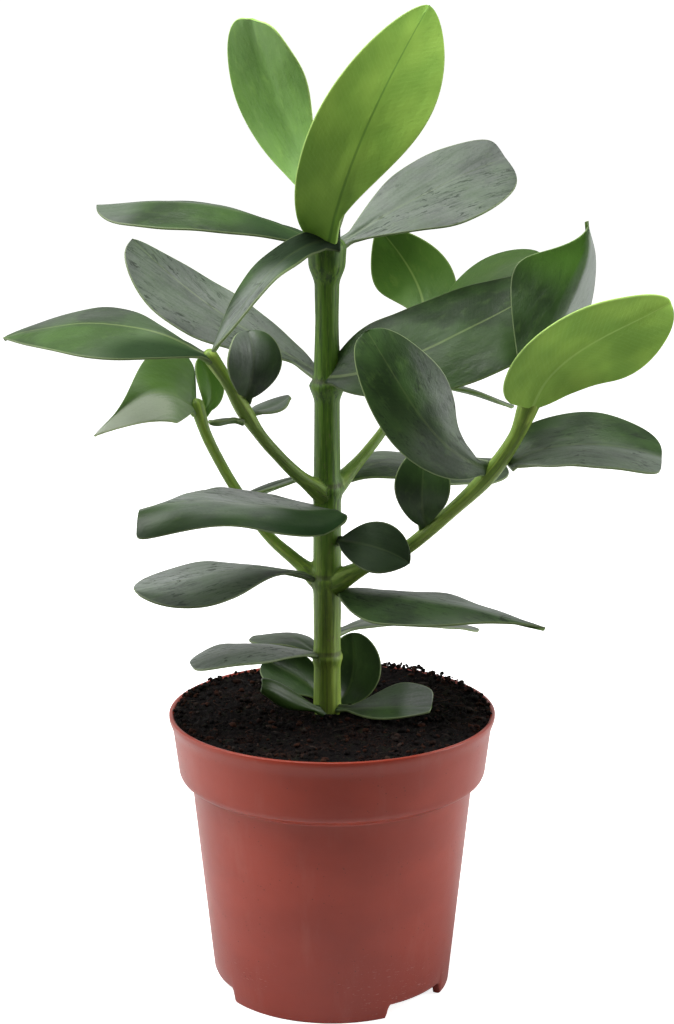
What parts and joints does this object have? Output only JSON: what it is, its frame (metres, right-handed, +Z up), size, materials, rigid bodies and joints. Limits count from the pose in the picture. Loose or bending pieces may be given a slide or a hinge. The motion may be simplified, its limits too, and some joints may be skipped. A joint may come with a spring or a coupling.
{
  "type": "potted autograph tree",
  "caption": "Young autograph tree (Clusia) with thick paddle-shaped leaves on an upright stem, standing in potting soil in a round terracotta-red plastic grower pot.",
  "frame": {"origin": "on the axis of the pot, at the level it stands on", "axes": "+Z up along the pot's axis, -Y towards the side the plant faces, +X to that side's right"},
  "size_m": [0.2335, 0.1237, 0.36],
  "materials": {
    "pot_plastic": "moulded terracotta-red polypropylene with a faint satin sheen",
    "potting_soil": "crumbly black-brown peat mix, matt",
    "green_stem": "smooth green bark with pale corky specks, satin",
    "mature_leaf": "thick leathery leaf, waxy, with a pale margin",
    "young_leaf": "young leaf, yellow-green, satin"
  },
  "bodies": {
    "root": {"pot": "pot_plastic", "soil": "potting_soil", "stem": "green_stem", "leaf_top_front": "young_leaf", "leaf_top_back": "young_leaf", "leaf_crown_right": "mature_leaf", "leaf_crown_left": "mature_leaf", "leaf_crown_front": "mature_leaf", "leaf_crown_back": "mature_leaf", "leaf_upper_right": "mature_leaf", "leaf_upper_left": "mature_leaf", "leaf_middle_front": "mature_leaf", "leaf_middle_back": "mature_leaf", "leaf_middle_small": "mature_leaf", "leaf_lower_left": "mature_leaf", "leaf_lower_right": "mature_leaf", "leaf_low_right": "mature_leaf", "leaf_low_left": "mature_leaf", "leaf_low_back": "mature_leaf", "leaf_foot_back_left": "mature_leaf", "leaf_foot_left": "mature_leaf", "leaf_foot_upright": "mature_leaf", "leaf_foot_right": "mature_leaf", "leaf_b1_tip": "young_leaf", "leaf_b1_tip_small": "young_leaf", "leaf_b1_side": "mature_leaf", "leaf_b1_side_small": "mature_leaf", "leaf_b2_tip_front": "young_leaf", "leaf_b2_tip_back": "mature_leaf", "leaf_b2_inner": "mature_leaf", "leaf_b2_outer": "mature_leaf", "leaf_b2_small": "mature_leaf", "leaf_b3_tip": "mature_leaf", "leaf_b3_round": "mature_leaf", "leaf_b3_small_right": "mature_leaf", "leaf_b3_small_left": "mature_leaf", "leaf_b4_tip": "young_leaf", "leaf_b4_tip_right": "young_leaf", "leaf_b4_side": "mature_leaf"}
  },
  "joints": []
}
